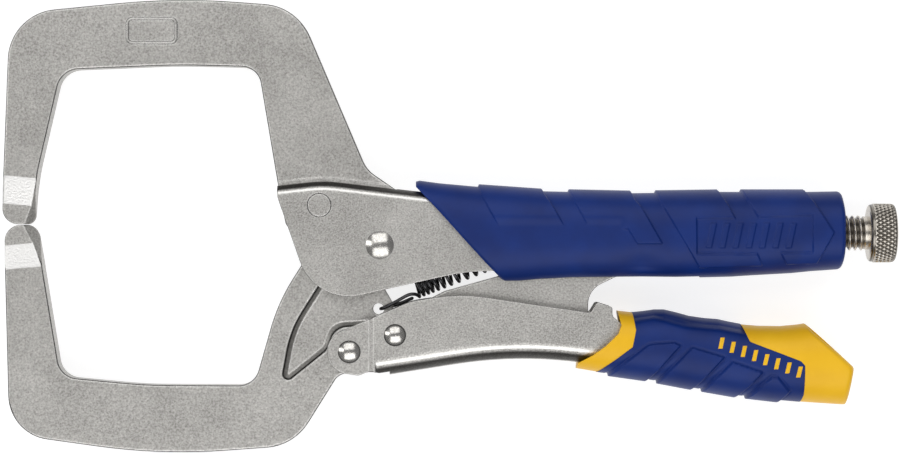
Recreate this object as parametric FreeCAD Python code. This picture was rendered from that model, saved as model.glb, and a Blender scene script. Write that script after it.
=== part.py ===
import FreeCAD, Part
import math
import os

# Locking C-clamp, lying on its side: +X runs from the jaw tips to the adjusting screw, +Y from the
# moving jaw to the fixed jaw, +Z across the thickness.  The origin is the point where the two jaw
# tips meet, on the middle plane.  Millimetres throughout.

V = FreeCAD.Vector

# ---- overall sizes
reach = 113.0               # jaw tips to main pivot, along X
jaw_rise = 69.7             # crown of the fixed jaw above the tips
jaw_drop = 70.7             # lowest edge of the moving jaw below the tips
handle_length = 143.4       # main pivot to the rear end of the handle shell

# ---- forged jaws
jaw_thickness = 9.2
bar_depth = 20.4            # height of the top and bottom bars of the C
tip_thickness = 6.4         # thickness of the ground-down tips
tip_ramp_start = 15.0       # distance from the tips where the grinding starts
tip_ramp_end = 6.2          # distance from the tips where the full grinding depth is reached
tip_gap = 0.2               # space left between the closed tips
forging_edge = 0.5          # rounding along the edges of the forgings
pocket_depth = 1.6
pocket_wall = 1.8           # width of the pocket's sloping wall
size_pad = (15.9, 8.3)      # raised pad on the fixed jaw, length and height
size_pad_rise = 0.35
size_pad_corner = 2.0
size_pad_rim = 0.8          # width of the pad's raised border

# ---- sheet metal
shell_sheet = 2.4
shell_bend = 3.4            # outer bend radius of the shell
tang_relief = 0.1           # each side of the tang is ground down by this
lever_sheet = 2.2
lever_bend = 5.4            # outer bend radius of the lever channel
lever_joggle = 0.7          # sideways step behind the lever's front lugs
web_front = 3.0             # where the lever's web begins, behind the main pivot
leg_front = -1.3            # where its folded legs begin, behind the main pivot
side_clearance = 0.1        # between plates that slide on each other

# ---- rivets
flush_rivet_radius = 3.7
main_rivet_radius = 3.9
lever_rivet_radius = 3.1
link_rivet_radius = 3.0
head_overhang = 0.45        # a domed head's radius beyond its shank
head_height = 1.3
hinge_clearance = 0.05      # radial, between a shank and the part that turns on it

# ---- link and screw
link_end_radius = 5.0
link_tail_radius = 3.4
link_tail_gap = 2.0         # between the link's tail and the screw at rest
link_thickness = 8.4
screw_radius = 5.55
thread_pitch = 1.814
thread_depth = 1.0
screw_reach = 45.0          # how far the screw reaches into the shell
thread_clearance = 0.05
neck_length = 8.8           # from the shell's end to the knob
knob_radius = 9.2
knob_length = 8.5
knob_edge = 1.1
hex_across = 6.0
hex_depth = 6.0

# ---- spring
spring_radius = 3.5
spring_wire = 0.55
anchor_pin_radius = 1.5
spring_hole_radius = 1.75

# ---- grips
grip_half_front = 9.4
grip_half_rear = 12.9
lower_half_front = 10.2
lower_half_rear = 12.2
sleeve_wall = 2.0
slot_clearance = 0.6        # each side of the link where it passes through the upper grip
mark_count = 8

# ---- worked-out places
main_pivot = V(reach, -6.4, 0)
lever_pivot = main_pivot + V(-9.5, -33.1, 0)
link_pivot = lever_pivot + V(14.2, 5.2, 0)
screw_y = main_pivot.y + 3.75
shell_end = main_pivot.x + handle_length
screw_tip = shell_end - screw_reach
tail_center = V(screw_tip - link_tail_gap - link_tail_radius, screw_y, 0)
spring_eye = main_pivot + V(-0.5, -19.9, 0)

jaw_half = jaw_thickness / 2
shell_gap = jaw_half - tang_relief
moving_half = shell_gap - side_clearance
shell_half = shell_gap + shell_sheet
lug_gap = moving_half + side_clearance
lug_half = lug_gap + lever_sheet
channel_gap = lug_gap + lever_joggle
lever_half = channel_gap + lever_sheet
link_half = link_thickness / 2
tube_radius = screw_radius + 2.6


# ---- shape helpers

def rounded_face(corners):
    """Flat face in the XY plane; each corner is (x, y, radius), kept inside half its shorter side."""
    count = len(corners)
    points = [V(c[0], c[1], 0) for c in corners]
    edges = []
    joins = []
    for i in range(count):
        here = points[i]
        back = points[i - 1] - here
        ahead = points[(i + 1) % count] - here
        turn = math.pi - back.getAngle(ahead)
        radius = corners[i][2]
        if radius <= 0 or turn < 0.001:
            joins.append((here, None, here))
            continue
        room = 0.49 * min(back.Length, ahead.Length)
        tangent = min(radius * math.tan(turn / 2), room)
        radius = tangent / math.tan(turn / 2)
        back.normalize()
        ahead.normalize()
        inward = (back + ahead).normalize()
        nearest = here + inward * (radius / math.cos(turn / 2) - radius)
        joins.append((here + back * tangent, nearest, here + ahead * tangent))
    for i in range(count):
        start, middle, end = joins[i]
        following = joins[(i + 1) % count][0]
        if middle is not None:
            edges.append(Part.Arc(start, middle, end).toShape())
        if (following - end).Length > 1e-6:
            edges.append(Part.LineSegment(end, following).toShape())
    return Part.Face(Part.Wire(edges))


def plate(corners, low, high):
    """Rounded outline thickened from z = low to z = high."""
    face = rounded_face(corners)
    face.translate(V(0, 0, low))
    return face.extrude(V(0, 0, high - low))


def shifted(corners, origin):
    """The same corners, counted from another origin."""
    return [(origin.x + x, origin.y + y, r) for x, y, r in corners]


def inset(corners, distance):
    """Corners of a clockwise outline moved inwards by distance, with their radii to match."""
    moved = []
    count = len(corners)
    for i in range(count):
        here = V(corners[i][0], corners[i][1], 0)
        before = here - V(corners[i - 1][0], corners[i - 1][1], 0)
        after = V(corners[(i + 1) % count][0], corners[(i + 1) % count][1], 0) - here
        normal_1 = V(before.y, -before.x, 0).normalize()
        normal_2 = V(after.y, -after.x, 0).normalize()
        step = (normal_1 + normal_2) * (distance / (1 + normal_1.dot(normal_2)))
        bends_right = before.cross(after).z < 0
        radius = corners[i][2] - distance if bends_right else corners[i][2] + distance
        moved.append((here.x + step.x, here.y + step.y, max(radius, 0.2)))
    return moved


def disc(center, radius, low, high):
    return Part.makeCylinder(radius, high - low, V(center.x, center.y, low), V(0, 0, 1))


def along_x(radius, start, end):
    """Cylinder on the screw's axis."""
    return Part.makeCylinder(radius, end - start, V(start, screw_y, 0), V(1, 0, 0))


def block(x0, x1, y0, y1, z0, z1):
    return Part.makeBox(x1 - x0, y1 - y0, z1 - z0, V(x0, y0, z0))


def mirrored(shape):
    """The same shape on the other side of the middle plane."""
    return shape.mirror(V(0, 0, 0), V(0, 0, 1))


def both_sides(shape):
    return shape.fuse(mirrored(shape))


def soften(solid, radius, height, keep=lambda middle: True):
    """Round the outline edges that lie on the faces at z = height and z = -height."""
    chosen = []
    for edge in solid.Edges:
        box = edge.BoundBox
        flat = box.ZLength < 0.001 and abs(abs(box.ZMin) - height) < 0.001
        if flat and keep(box.Center):
            chosen.append(edge)
    return solid.makeFillet(radius, chosen)


def write(name, shape):
    shape.exportStep(os.path.join("parts", name + ".step"))


# ---- forged jaws

def tip_cutter(direction, inner_edge):
    """What grinding takes off the near side of one tip; direction is +1 above the tips, -1 below."""
    low = tip_thickness / 2
    high = jaw_half + 2
    slope = (jaw_half - low) / (tip_ramp_start - tip_ramp_end)
    beyond = 2 / slope
    side = [
        V(0, -2, low),
        V(0, tip_ramp_end, low),
        V(0, tip_ramp_start + beyond, high),
        V(0, -2, high),
    ]
    face = Part.Face(Part.makePolygon(side + side[:1]))
    face.translate(V(-12, 0, 0))
    ramp = face.extrude(V(24, 0, 0))
    ramp.rotate(V(0, tip_ramp_start, 0), V(0, 0, 1), -5)
    # The inner side of the tip is bevelled towards a narrow nose.
    start = V(inner_edge, tip_ramp_start, jaw_half)
    nose = V(3.2, 2.5, low)
    middle = V(6.1, 2.5, 0.3)
    normal = (nose - start).cross(middle - start).normalize()
    if normal.x < 0:
        normal = normal * -1
    wedge = Part.makeBox(9, 22, 22, V(0, -11, -11))
    wedge.Placement = FreeCAD.Placement(nose, FreeCAD.Rotation(V(1, 0, 0), normal))
    wedge = wedge.common(block(-2, 12, -3, tip_ramp_start, 0, jaw_half + 3))
    cutter = ramp.fuse(wedge)
    if direction < 0:
        cutter = cutter.mirror(V(0, 0, 0), V(0, 1, 0))
    return cutter


def fixed_jaw_outline():
    """Clockwise from the nose of the tip, up the front leg and round to the tang."""
    under = jaw_rise - bar_depth
    right = reach - 25.8
    return [
        (-4.75, tip_gap / 2, 6.4),
        (-2.2, jaw_rise - 4.2, 16.0),
        (right * 0.57, jaw_rise + 0.9, 260.0),
        (right, jaw_rise - 1.9, 16.6),
        (reach - 4.2, 17.1, 10.0),
        (reach + 5.3, 10.6, 0.0),
        (reach + 5.3, 5.6, 0.8),
        (reach - 9.0, 5.6, 3.0),
        (reach - 15.5, -1.6, 3.0),
        (reach - 29.0, -1.6, 3.0),
        (reach - 31.4, 10.4, 0.0),
        (reach - 37.9, under - 0.3, 6.2),
        (right * 0.57, under + 0.3, 200.0),
        (13.9, under - 1.2, 7.0),
        (5.8, 13.2, 60.0),
        (5.6, tip_gap / 2, 2.8),
    ]


def make_fixed_jaw():
    jaw = plate(fixed_jaw_outline(), -jaw_half, jaw_half)
    jaw = soften(jaw, forging_edge, jaw_half)
    cutter = tip_cutter(1, 6.4)
    jaw = jaw.cut(cutter).cut(mirrored(cutter))
    # The tang is ground thinner, from just above the shell downwards.
    relief = plate(inset(shell_outline(), -1.1), jaw_half - tang_relief, jaw_half + 2)
    jaw = jaw.cut(relief).cut(mirrored(relief))
    length, height = size_pad
    pad_x = 42.0 * reach / 113.0
    pad_y = jaw_rise - 9.45
    rim = [
        (pad_x - length / 2, pad_y - height / 2, size_pad_corner),
        (pad_x - length / 2, pad_y + height / 2, size_pad_corner),
        (pad_x + length / 2, pad_y + height / 2, size_pad_corner),
        (pad_x + length / 2, pad_y - height / 2, size_pad_corner),
    ]
    pad = plate(rim, 0, jaw_half + size_pad_rise)
    pad = pad.cut(plate(inset(rim, size_pad_rim), jaw_half, jaw_half + 1))
    jaw = jaw.fuse(pad)
    return jaw.cut(disc(flush_rivet_place(), flush_rivet_radius, -jaw_half, jaw_half))


def moving_jaw_outline():
    """Clockwise from the nose of the tip, down the inside of the C and back along the outside."""
    low = -jaw_drop
    bar_top = low + bar_depth + 0.3
    right = reach - 26.8
    return [
        (-4.0, -tip_gap / 2, 5.6),
        (6.5, -tip_gap / 2, 4.4),
        (8.0, -13.5, 40.0),
        (13.6, bar_top + 2.6, 6.5),
        (40.0 * reach / 113.0, bar_top + 0.1, 150.0),
        (reach - 39.1, bar_top - 0.1, 6.5),
        (reach - 31.7, -24.1, 60.0),
        (reach - 20.5, -6.4, 8.0),
        (reach - 9.0, 3.6, 2.0),
        (reach + 8.0, -10.0, 2.0),
        (reach + 0.6, -18.8, 3.0),
        (reach + 4.2, -24.9, 1.2),
        (reach + 3.2, -28.4, 1.5),
        (reach - 3.6, -33.4, 2.0),
        (lever_pivot.x + 5.8, lever_pivot.y - 1.0, 2.0),
        (lever_pivot.x + 1.0, lever_pivot.y - 6.2, 3.0),
        (lever_pivot.x - 3.6, lever_pivot.y - 7.4, 5.0),
        (right, low + 1.9, 16.6),
        (45.0 * reach / 113.0, low - 1.1, 220.0),
        (-2.3, low + 5.5, 14.0),
    ]


def pocket_outline():
    """Clockwise edge of the jaw's pocket; it is open towards the shell and the lever."""
    return [
        (lever_pivot.x - 22.0, lever_pivot.y - 11.9, 2.0),
        (lever_pivot.x - 18.6, lever_pivot.y + 6.8, 35.0),
        (main_pivot.x - 15.0, main_pivot.y - 5.6, 8.0),
        (main_pivot.x - 8.0, main_pivot.y + 14.0, 3.0),
        (main_pivot.x + 14.0, main_pivot.y + 14.0, 3.0),
        (main_pivot.x + 14.0, lever_pivot.y + 8.0, 3.0),
        (lever_pivot.x + 6.0, lever_pivot.y + 7.9, 1.0),
        (lever_pivot.x - 4.4, lever_pivot.y + 7.2, 5.5),
        (lever_pivot.x - 6.7, lever_pivot.y + 0.4, 5.0),
    ]


def make_moving_jaw():
    jaw = plate(moving_jaw_outline(), -moving_half, moving_half)
    jaw = soften(jaw, forging_edge, moving_half)
    for center, radius in ((main_pivot, 11.0), (lever_pivot, 6.3)):
        jaw = jaw.fuse(disc(center, radius, -moving_half, moving_half))
    jaw = jaw.removeSplitter()
    cutter = tip_cutter(-1, 8.6)
    jaw = jaw.cut(cutter).cut(mirrored(cutter))
    rim = rounded_face(pocket_outline()).OuterWire
    rim.translate(V(0, 0, moving_half))
    floor = rounded_face(inset(pocket_outline(), pocket_wall)).OuterWire
    floor.translate(V(0, 0, moving_half - pocket_depth))
    pocket = Part.makeLoft([floor, rim], True, True)
    boss = disc(main_pivot, 9.0, 0, jaw_thickness)
    lug_boss = disc(lever_pivot, 6.7, 0, jaw_thickness)
    pocket = pocket.cut(boss).cut(lug_boss)
    jaw = jaw.cut(pocket).cut(mirrored(pocket))
    jaw = jaw.cut(disc(main_pivot, main_rivet_radius + hinge_clearance, -9, 9))
    jaw = jaw.cut(disc(lever_pivot, lever_rivet_radius + hinge_clearance, -9, 9))
    return jaw.cut(disc(spring_eye, spring_hole_radius, -9, 9))


# ---- handle shell

def flush_rivet_place():
    return main_pivot + V(-18.8, 12.4, 0)


def shell_outline():
    """Clockwise side view of the folded channel, as far back as the rolled tube."""
    top = screw_y + tube_radius
    return shifted([
        (-31.9, 18.6, 0.0),
        (-17.5, 20.2, 40.0),
        (52.0, top + 6.4, 30.0),
        (handle_length - 30.0, top + 6.4, 0.0),
        (handle_length - 30.0, -7.6, 0.0),
        (27.0, -8.1, 60.0),
        (-20.0, -18.6, 16.0),
        (-31.9, 15.2, 10.0),
    ], main_pivot)


def shell_envelope():
    """The shell with its hollow filled, which is also what the upper grip is moulded round."""
    channel = plate(shell_outline(), -shell_half, shell_half)
    front = reach - 31.5
    rear = shell_end - 31.0
    channel = soften(channel, shell_bend, shell_half,
                     lambda middle: middle.y > main_pivot.y + 8.0 and front < middle.x < rear)
    tube = along_x(tube_radius, screw_tip - 10.0, shell_end)
    return channel.fuse(tube)


def shell_hollow():
    outline = shifted(shell_outline(), V(0, -shell_sheet, 0))
    top = outline[:3]
    rear = screw_tip + 1.0
    corners = [(top[0][0] - 5.0, top[0][1], 0.0), top[1], top[2]]
    corners.append((rear, top[2][1], 0.0))
    corners.append((rear, main_pivot.y - 40.0, 0.0))
    corners.append((top[0][0] - 5.0, main_pivot.y - 40.0, 0.0))
    channel = plate(corners, -shell_gap, shell_gap)
    screw_room = along_x(screw_radius + 0.3, screw_tip - 8.0, shell_end - 28.0)
    nut_thread = along_x(screw_radius + thread_clearance, screw_tip, shell_end + 1.0)
    return channel.fuse(screw_room).fuse(nut_thread)


def make_handle_shell():
    shell = shell_envelope().cut(shell_hollow())
    web_slot = block(reach - 40.0, reach + 5.3, 0, 30.0, -shell_gap, shell_gap)
    shell = shell.cut(web_slot)
    for place, radius in ((flush_rivet_place(), flush_rivet_radius),
                          (main_pivot, main_rivet_radius),
                          (anchor_place(), anchor_pin_radius)):
        shell = shell.cut(disc(place, radius, -20, 20))
    return shell


def domed_rivet(center, radius, half_width):
    """Shank with a low domed head at each end, each with a small dimple from the riveting tool."""
    head_radius = radius + head_overhang
    rise = head_height
    ball = (head_radius ** 2 + rise ** 2) / (2 * rise)
    rivet = disc(center, radius, -half_width, half_width)
    cap = Part.makeSphere(ball, V(center.x, center.y, half_width + rise - ball))
    cap = cap.common(disc(center, head_radius, half_width, half_width + rise))
    dimple = Part.makeCone(0, 0.45, 0.3, V(center.x, center.y, half_width + rise - 0.28), V(0, 0, 1))
    cap = cap.cut(dimple)
    return rivet.fuse(cap).fuse(mirrored(cap))


def make_fixed_jaw_rivet():
    rivet = disc(flush_rivet_place(), flush_rivet_radius, -shell_half, shell_half)
    return rivet.makeChamfer(0.2, [e for e in rivet.Edges if e.Length > 6 and e.BoundBox.ZLength < 0.01])


# ---- lever

def lever_outline():
    """Clockwise side view: front lug, top edge with the stop tab, hidden tang, web side."""
    lug = lever_pivot
    pin = main_pivot
    return [
        (lug.x - 2.6, lug.y + 6.4, 0.0),
        (pin.x + 9.7, pin.y - 17.4, 20.0),
        (pin.x + 25.2, pin.y - 15.1, 50.0),
        (pin.x + 65.3, pin.y - 21.0, 1.2),
        (pin.x + 67.3, pin.y - 17.7, 1.0),
        (pin.x + 72.1, pin.y - 19.2, 1.0),
        (pin.x + 72.1, pin.y - 22.0, 1.5),
        (pin.x + 75.2, pin.y - 24.6, 1.0),
        (pin.x + 102.0, pin.y - 27.6, 40.0),
        (pin.x + 137.0, pin.y - 31.5, 2.0),
        (pin.x + 137.0, pin.y - 60.0, 0.0),
        (pin.x + web_front, pin.y - 60.0, 0.0),
        (pin.x + web_front - 0.1, pin.y - 40.5, 0.0),
        (pin.x - 3.3, pin.y - 39.1, 5.0),
        (lug.x + 3.0, lug.y - 7.45, 3.0),
        (lug.x - 0.5, lug.y - 6.88, 0.0),
    ]


def lever_spine():
    """Line along the outside of the web, from in front of the folded legs to the tang's end."""
    pin = main_pivot
    corners = [
        V(pin.x - 3.0, pin.y - 41.3, 0),
        V(pin.x + 42.5, pin.y - 34.15, 0),
        V(pin.x + 88.0, pin.y - 39.8, 0),
        V(pin.x + 136.0, pin.y - 43.2, 0),
    ]
    edges = []
    last = corners[0]
    for i, radius in ((1, 135.0), (2, 150.0)):
        back = (corners[i - 1] - corners[i]).normalize()
        ahead = (corners[i + 1] - corners[i]).normalize()
        half_turn = (math.pi - back.getAngle(ahead)) / 2
        start = corners[i] + back * (radius * math.tan(half_turn))
        end = corners[i] + ahead * (radius * math.tan(half_turn))
        nearest = corners[i] + (back + ahead).normalize() * (radius / math.cos(half_turn) - radius)
        edges.append(Part.LineSegment(last, start).toShape())
        edges.append(Part.Arc(start, nearest, end).toShape())
        last = end
    edges.append(Part.LineSegment(last, corners[3]).toShape())
    return Part.Wire(edges)


def lever_channel(filled):
    """U-shaped length of the lever, legs left long; filled leaves out its hollow."""
    spine = lever_spine()
    tall = 34.0
    section = [
        (-lever_half, tall, 0.0),
        (lever_half, tall, 0.0),
        (lever_half, 0.0, lever_bend),
        (-lever_half, 0.0, lever_bend),
    ]
    hollow = [
        (-channel_gap, tall + 1, 0.0),
        (channel_gap, tall + 1, 0.0),
        (channel_gap, lever_sheet, lever_bend - lever_sheet),
        (-channel_gap, lever_sheet, lever_bend - lever_sheet),
    ]
    solids = []
    start = spine.Edges[0].firstVertex().Point
    direction = spine.Edges[0].tangentAt(spine.Edges[0].FirstParameter)
    for corners in (section, hollow):
        wire = rounded_face(corners).OuterWire
        up = V(-direction.y, direction.x, 0)
        turn = FreeCAD.Rotation(V(0, 0, -1), up, direction, "ZXY")
        placed = wire.copy()
        placed.Placement = FreeCAD.Placement(start, turn)
        solids.append(spine.makePipeShell([placed], True, False))
    if filled:
        return solids[0]
    return solids[0].cut(solids[1])


def lever_legs():
    """Front lugs with the sideways joggle, as one plate bent in plan and cut to the side view."""
    bend = main_pivot.x - 3.0
    rear = main_pivot.x + 9.0
    front = lever_pivot.x - 12.0
    plan = [
        V(front, 0, lug_gap),
        V(bend, 0, lug_gap),
        V(bend + 1.6, 0, channel_gap),
        V(rear, 0, channel_gap),
        V(rear, 0, lever_half),
        V(bend + 1.1, 0, lever_half),
        V(bend - 0.5, 0, lug_half),
        V(front, 0, lug_half),
    ]
    face = Part.Face(Part.makePolygon(plan + plan[:1]))
    face.translate(V(0, main_pivot.y - 60, 0))
    return both_sides(face.extrude(V(0, 60, 0)))


def make_lever():
    tall = lever_half + 2
    side = plate(lever_outline(), -tall, tall)
    side = side.fuse(disc(lever_pivot, 6.9, -tall, tall))
    pin = main_pivot
    seam = pin.x + leg_front
    legs = lever_legs().common(side).common(block(0, seam, -100, 50, -tall, tall))
    channel = lever_channel(False).common(side)
    channel = channel.cut(block(0, seam, -100, 50, -tall, tall))
    # The web starts behind the legs' front, so the bends run out along the legs' lower edge.
    channel = channel.cut(block(0, pin.x + web_front, -100, pin.y - 30.0, -channel_gap, channel_gap))
    tab = [
        (pin.x + 66.9, pin.y - 20.0, 0.4),
        (pin.x + 67.5, pin.y - 17.9, 1.0),
        (pin.x + 71.9, pin.y - 19.3, 1.0),
        (pin.x + 71.9, pin.y - 21.5, 0.4),
    ]
    bridge = plate(tab, -channel_gap - 0.5, channel_gap + 0.5)
    lever = channel.fuse(legs).fuse(bridge).removeSplitter()
    lever = lever.cut(disc(lever_pivot, lever_rivet_radius, -20, 20))
    return lever.cut(disc(link_pivot, link_rivet_radius, -20, 20))


# ---- toggle link

def link_outline():
    pin = main_pivot
    tail = tail_center
    return [
        (link_pivot.x - 1.0, link_pivot.y + 4.9, 3.0),
        (pin.x + 13.0, pin.y - 18.0, 3.0),
        (pin.x + 20.0, pin.y - 14.4, 6.0),
        (pin.x + 37.0, pin.y - 9.7, 30.0),
        (tail.x - 1.2, tail.y + link_tail_radius, 2.0),
        (tail.x - 1.2, tail.y - link_tail_radius, 2.0),
        (pin.x + 73.5, pin.y - 9.8, 8.0),
        (pin.x + 64.7, pin.y - 14.0, 7.0),
        (pin.x + 64.7, pin.y - 26.5, 2.5),
        (pin.x + 40.0, pin.y - 29.5, 20.0),
        (link_pivot.x - 1.0, link_pivot.y - 4.9, 3.0),
    ]


def make_toggle_link():
    link = plate(link_outline(), -link_half, link_half)
    link = link.fuse(disc(link_pivot, link_end_radius, -link_half, link_half))
    link = link.fuse(disc(tail_center, link_tail_radius, -link_half, link_half))
    link = link.removeSplitter()
    link = link.cut(disc(link_pivot, link_rivet_radius + hinge_clearance, -20, 20))
    return link


# ---- adjusting screw

def make_adjusting_screw():
    start = screw_tip + 1.6
    knob_start = shell_end + neck_length
    root = screw_radius - thread_depth
    profile = [(screw_tip, 0), (screw_tip, root - 0.9), (start, root)]
    turns = int((knob_start - 1.4 - start) / thread_pitch)
    for i in range(turns):
        profile.append((start + (i + 0.5) * thread_pitch, screw_radius))
        profile.append((start + (i + 1) * thread_pitch, root))
    collar = screw_radius - 0.4
    face_end = knob_start + knob_length
    profile += [
        (start + turns * thread_pitch + 0.3, collar),
        (knob_start, collar),
        (knob_start, knob_radius - knob_edge),
        (knob_start + knob_edge, knob_radius),
        (face_end - knob_edge, knob_radius),
        (face_end, knob_radius - knob_edge),
        (face_end, 0),
    ]
    points = [V(x, screw_y + r, 0) for x, r in profile]
    face = Part.Face(Part.makePolygon(points + points[:1]))
    screw = face.revolve(V(0, screw_y, 0), V(1, 0, 0), 360)
    corner = hex_across / math.sqrt(3)
    ring = []
    for i in range(7):
        angle = math.radians(60 * i)
        ring.append(V(face_end - hex_depth, screw_y + corner * math.cos(angle), corner * math.sin(angle)))
    socket = Part.Face(Part.makePolygon(ring)).extrude(V(hex_depth + 1, 0, 0))
    return screw.cut(socket)


# ---- return spring

def anchor_place():
    return main_pivot + V(45.6, -0.2, 0)


def rod(start, end, radius):
    along = end - start
    return Part.makeCylinder(radius, along.Length, start, along)


def bent_wire(points, radius):
    """Straight lengths of wire joined by balls at the bends."""
    shape = rod(points[0], points[1], radius)
    for i in range(1, len(points) - 1):
        shape = shape.fuse(Part.makeSphere(radius, points[i]))
        shape = shape.fuse(rod(points[i], points[i + 1], radius))
    return shape


def make_return_spring():
    front = main_pivot + V(11.1, -13.4, 0)
    rear_hook = anchor_place()
    along = (rear_hook - front).normalize()
    coil_length = (rear_hook - front).Length - 6.0
    rear = front + along * coil_length
    coil = Part.makeCylinder(spring_radius, coil_length, front, along)
    coil = coil.cut(Part.makeCylinder(spring_radius - 2 * spring_wire, coil_length, front, along))
    hook_side = spring_radius - spring_wire
    lug_face = moving_half - pocket_depth + spring_wire + 0.15
    eye = spring_eye + V(0.9, 0.35, 0)
    start = V(front.x, front.y, hook_side) + along * 0.5
    hook = bent_wire([
        start,
        V(front.x - 1.5, front.y - 1.0, lug_face),
        V(eye.x, eye.y, lug_face),
        V(eye.x, eye.y, -lug_face),
    ], spring_wire)
    pin_side = anchor_pin_radius + spring_wire + 0.05
    side = V(-along.y, along.x, 0) * pin_side
    tail = bent_wire([
        rear + V(-along.y, along.x, 0) * hook_side - along * 0.5,
        rear_hook + side - along * 1.5,
        rear_hook + side + along * pin_side,
        rear_hook - side + along * pin_side,
        rear_hook - side - along * 0.5,
    ], spring_wire)
    return coil.fuse(hook).fuse(tail)


# ---- grips

def grip_section(x, top, bottom, half):
    """Rounded upright section across the handle."""
    radius = 0.8 * min(half, (top - bottom) / 2)
    face = rounded_face([
        (-half, bottom, radius),
        (-half, top, radius),
        (half, top, radius),
        (half, bottom, radius),
    ])
    wire = face.OuterWire
    wire.rotate(V(0, 0, 0), V(0, 1, 0), 90)
    wire.translate(V(x, 0, 0))
    return wire


def grip_loft(stations, shrink=0.0):
    wires = [grip_section(x, top - shrink, bottom + shrink, half - shrink)
             for x, top, bottom, half in stations]
    return Part.makeLoft(wires, True, False)


def make_upper_grip():
    pin = main_pivot
    end = shell_end + 0.5
    middle = (grip_half_front + grip_half_rear) / 2
    stations = [
        (pin.x + 4.0, pin.y + 21.5, pin.y - 11.6, grip_half_front),
        (pin.x + 37.0, pin.y + 18.6, pin.y - 10.7, middle),
        (pin.x + 72.0, pin.y + 17.3, pin.y - 9.8, grip_half_rear - 0.8),
        (pin.x + 107.0, pin.y + 17.4, pin.y - 9.7, grip_half_rear),
        (end, pin.y + 17.2, pin.y - 7.6, grip_half_rear),
    ]
    grip = grip_loft(stations)
    side = [
        (pin.x + 10.0, pin.y + 19.6, 1.5),
        (pin.x + 12.0, pin.y + 30.0, 0.0),
        (end, pin.y + 30.0, 0.0),
        (end, pin.y - 30.0, 0.0),
        (pin.x + 41.0, pin.y - 30.0, 0.0),
        (pin.x + 37.2, pin.y - 10.6, 2.0),
    ]
    grip = grip.common(plate(side, -30, 30))
    grip = grip.cut(shell_envelope())
    grip = grip.cut(along_x(tube_radius, shell_end - 5.0, end + 1.0))
    slot_half = link_half + slot_clearance
    slot_end = tail_center.x + 6.0
    slot = block(pin.x - 5, slot_end, pin.y - 30, pin.y - 7.0, -slot_half, slot_half)
    return grip.cut(slot)


def lower_stations():
    pin = main_pivot
    middle = (lower_half_front + lower_half_rear) / 2
    return [
        (pin.x + 57.0, pin.y - 17.5, pin.y - 38.0, lower_half_front),
        (pin.x + 75.0, pin.y - 20.3, pin.y - 41.3, lower_half_front + 0.6),
        (pin.x + 92.0, pin.y - 20.5, pin.y - 44.7, middle),
        (pin.x + 112.0, pin.y - 24.0, pin.y - 47.6, lower_half_rear),
        (pin.x + 128.0, pin.y - 25.1, pin.y - 49.0, lower_half_rear),
        (pin.x + 150.0, pin.y - 25.0, pin.y - 50.0, lower_half_rear - 0.5),
    ]


def lower_grip_side():
    """Clockwise side view of the whole lower grip."""
    pin = main_pivot
    return [
        (pin.x + 62.0, pin.y - 37.6, 0.5),
        (pin.x + 71.0, pin.y - 31.5, 8.0),
        (pin.x + 77.0, pin.y - 27.0, 6.0),
        (pin.x + 74.8, pin.y - 19.0, 0.5),
        (pin.x + 74.8, pin.y - 10.0, 0.0),
        (pin.x + 132.6, pin.y - 10.0, 0.0),
        (pin.x + 132.6, pin.y - 24.4, 0.8),
        (pin.x + 148.2, pin.y - 38.2, 2.5),
        (pin.x + 145.5, pin.y - 49.8, 2.5),
        (pin.x + 140.0, pin.y - 60.0, 0.0),
        (pin.x + 62.0, pin.y - 60.0, 0.0),
    ]


def sleeve_side():
    """Clockwise side view of the part that the soft sleeve covers."""
    pin = main_pivot
    return [
        (pin.x + 68.4, pin.y - 40.0, 0.0),
        (pin.x + 79.5, pin.y - 31.5, 4.0),
        (pin.x + 80.3, pin.y - 26.0, 6.0),
        (pin.x + 79.0, pin.y - 19.0, 0.0),
        (pin.x + 79.0, pin.y - 10.0, 0.0),
        (pin.x + 111.5, pin.y - 10.0, 0.0),
        (pin.x + 112.6, pin.y - 24.5, 0.0),
        (pin.x + 116.0, pin.y - 30.2, 1.0),
        (pin.x + 132.2, pin.y - 35.6, 2.0),
        (pin.x + 132.4, pin.y - 47.5, 2.0),
        (pin.x + 129.0, pin.y - 60.0, 0.0),
        (pin.x + 68.4, pin.y - 60.0, 0.0),
    ]


def mark_prisms():
    """A row of plain slanted dashes, cut right through the width of the grip."""
    bars = []
    for i in range(mark_count):
        share = i / (mark_count - 1)
        x = main_pivot.x + 105.0 + 25.0 * share
        y = main_pivot.y - 31.4 - 9.0 * share
        bars.append(plate([
            (x - 0.9, y - 1.8, 0.2),
            (x - 0.1, y + 1.8, 0.2),
            (x + 1.1, y + 1.8, 0.2),
            (x + 0.3, y - 1.8, 0.2),
        ], -30, 30))
    return Part.makeCompound(bars)


def make_lower_grip():
    whole = grip_loft(lower_stations()).common(plate(lower_grip_side(), -30, 30))
    inner = grip_loft(lower_stations(), sleeve_wall)
    cover = whole.common(plate(sleeve_side(), -30, 30)).cut(inner)
    marks = cover.common(mark_prisms())
    sleeve = cover.cut(mark_prisms())
    tall = lever_half + 2
    tang = lever_channel(True).common(plate(lever_outline(), -tall, tall))
    core = whole.cut(cover).cut(tang)
    return core, sleeve, marks


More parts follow.
